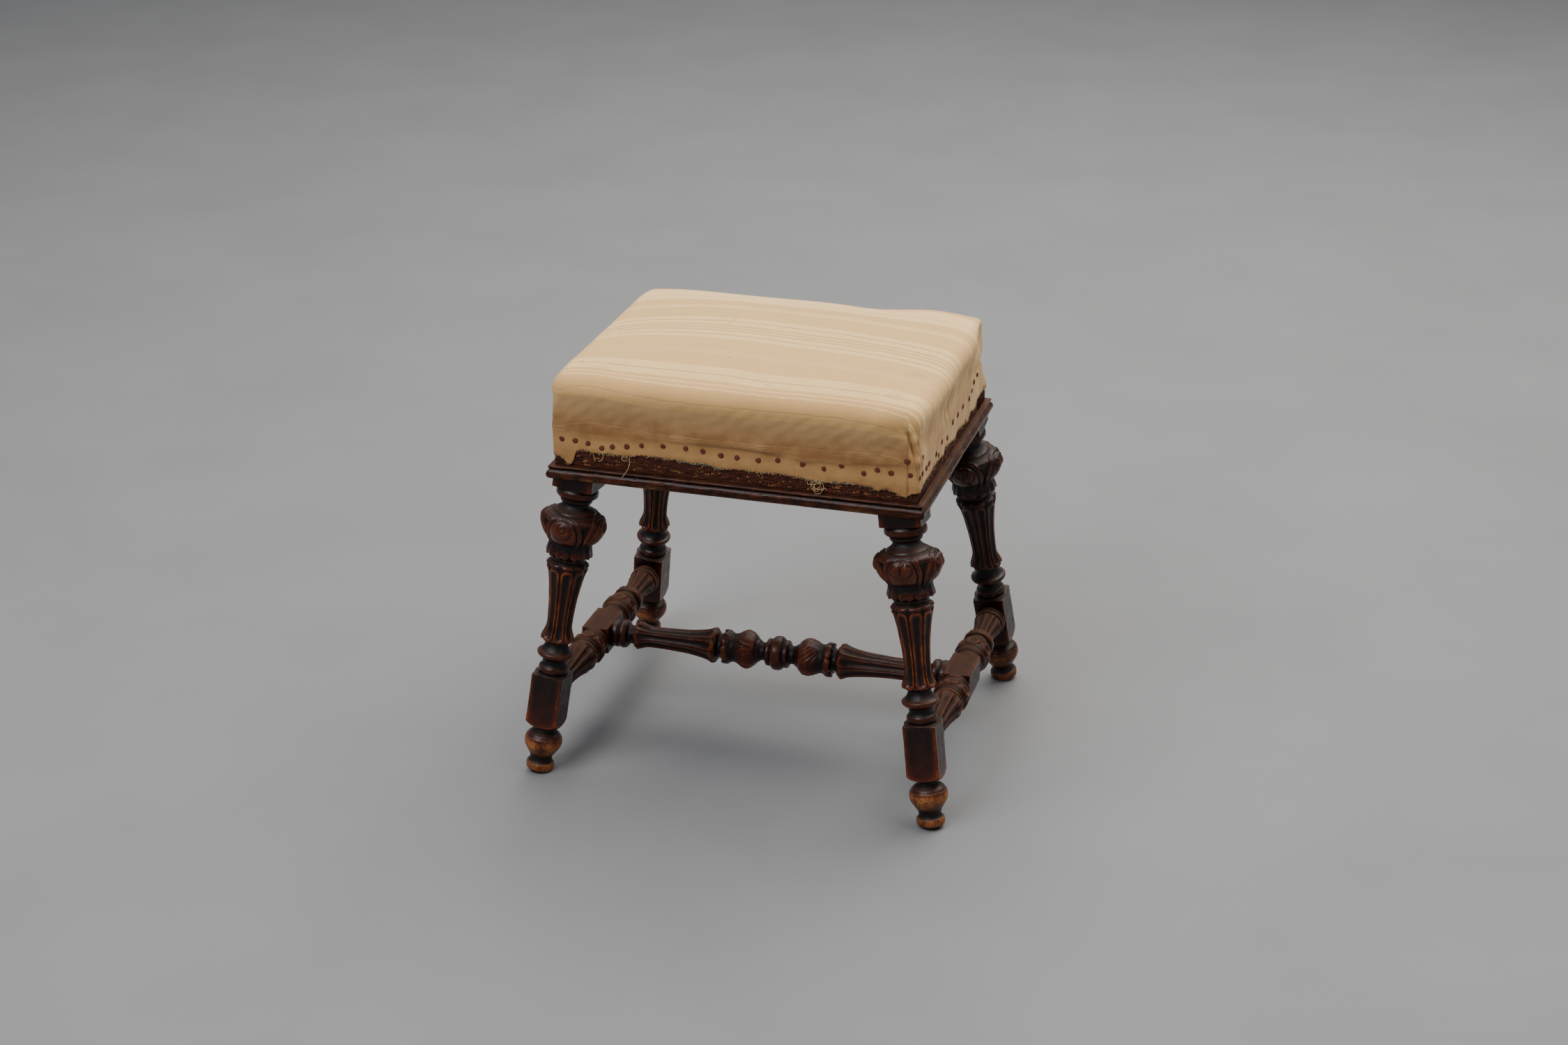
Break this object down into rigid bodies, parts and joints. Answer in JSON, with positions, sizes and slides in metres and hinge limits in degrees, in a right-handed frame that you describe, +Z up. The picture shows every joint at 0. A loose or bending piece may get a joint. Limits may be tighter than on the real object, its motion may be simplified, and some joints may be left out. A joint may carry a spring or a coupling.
{
  "type": "upholstered stool",
  "caption": "Stool on splayed, turned and carved legs with an H stretcher, a moulded frame and a stuffed-over seat in striped ticking.",
  "frame": {"origin": "on the floor, under the middle of the seat", "axes": "+X along the long side of the seat, +Y towards the back, +Z up"},
  "size_m": [0.5104, 0.4158, 0.5001],
  "materials": {
    "carved_walnut": "turned and carved walnut under dark, worn polish, rubbed to orange-brown on the high places",
    "rail_wood": "bare dark-stained rail with old tack holes and orange chips",
    "plain_wood": "unfinished beech with saw marks",
    "jute_webbing": "plain-woven jute webbing",
    "hessian": "open-woven hessian",
    "fibre_stuffing": "matted hair and fibre stuffing",
    "striped_ticking": "faded cream and tan striped cotton ticking, matt, with a fine twill weave",
    "rusty_steel": "rusted blued upholstery tacks"
  },
  "bodies": {
    "root": {"centre_stretcher": "carved_walnut", "corner_block_back_left": "plain_wood", "corner_block_back_right": "plain_wood", "corner_block_front_left": "plain_wood", "corner_block_front_right": "plain_wood", "hessian": "hessian", "leg_back_left": "carved_walnut", "leg_back_right": "carved_walnut", "leg_front_left": "carved_walnut", "leg_front_right": "carved_walnut", "moulding_back": "carved_walnut", "moulding_front": "carved_walnut", "moulding_left": "carved_walnut", "moulding_right": "carved_walnut", "rail_back": "rail_wood", "rail_front": "rail_wood", "rail_left": "rail_wood", "rail_right": "rail_wood", "seat_cover": "striped_ticking", "side_stretcher_left": "carved_walnut", "side_stretcher_right": "carved_walnut", "stuffing_pad": "fibre_stuffing", "tack_front_01": "rusty_steel", "tack_front_02": "rusty_steel", "tack_front_03": "rusty_steel", "tack_front_04": "rusty_steel", "tack_front_05": "rusty_steel", "tack_front_06": "rusty_steel", "tack_front_07": "rusty_steel", "tack_front_08": "rusty_steel", "tack_front_09": "rusty_steel", "tack_front_10": "rusty_steel", "tack_front_11": "rusty_steel", "tack_front_12": "rusty_steel", "tack_front_13": "rusty_steel", "tack_front_14": "rusty_steel", "tack_front_15": "rusty_steel", "tack_front_16": "rusty_steel", "tack_front_17": "rusty_steel", "tack_front_18": "rusty_steel", "tack_front_19": "rusty_steel", "tack_front_20": "rusty_steel", "tack_front_21": "rusty_steel", "tack_right_01": "rusty_steel", "tack_right_02": "rusty_steel", "tack_right_03": "rusty_steel", "tack_right_04": "rusty_steel", "tack_right_05": "rusty_steel", "tack_right_06": "rusty_steel", "tack_right_07": "rusty_steel", "tack_right_08": "rusty_steel", "tack_right_09": "rusty_steel", "tack_right_10": "rusty_steel", "webbing_crossways_1": "jute_webbing", "webbing_crossways_2": "jute_webbing", "webbing_crossways_3": "jute_webbing", "webbing_crossways_4": "jute_webbing", "webbing_lengthways_1": "jute_webbing", "webbing_lengthways_2": "jute_webbing", "webbing_lengthways_3": "jute_webbing"}
  },
  "joints": []
}
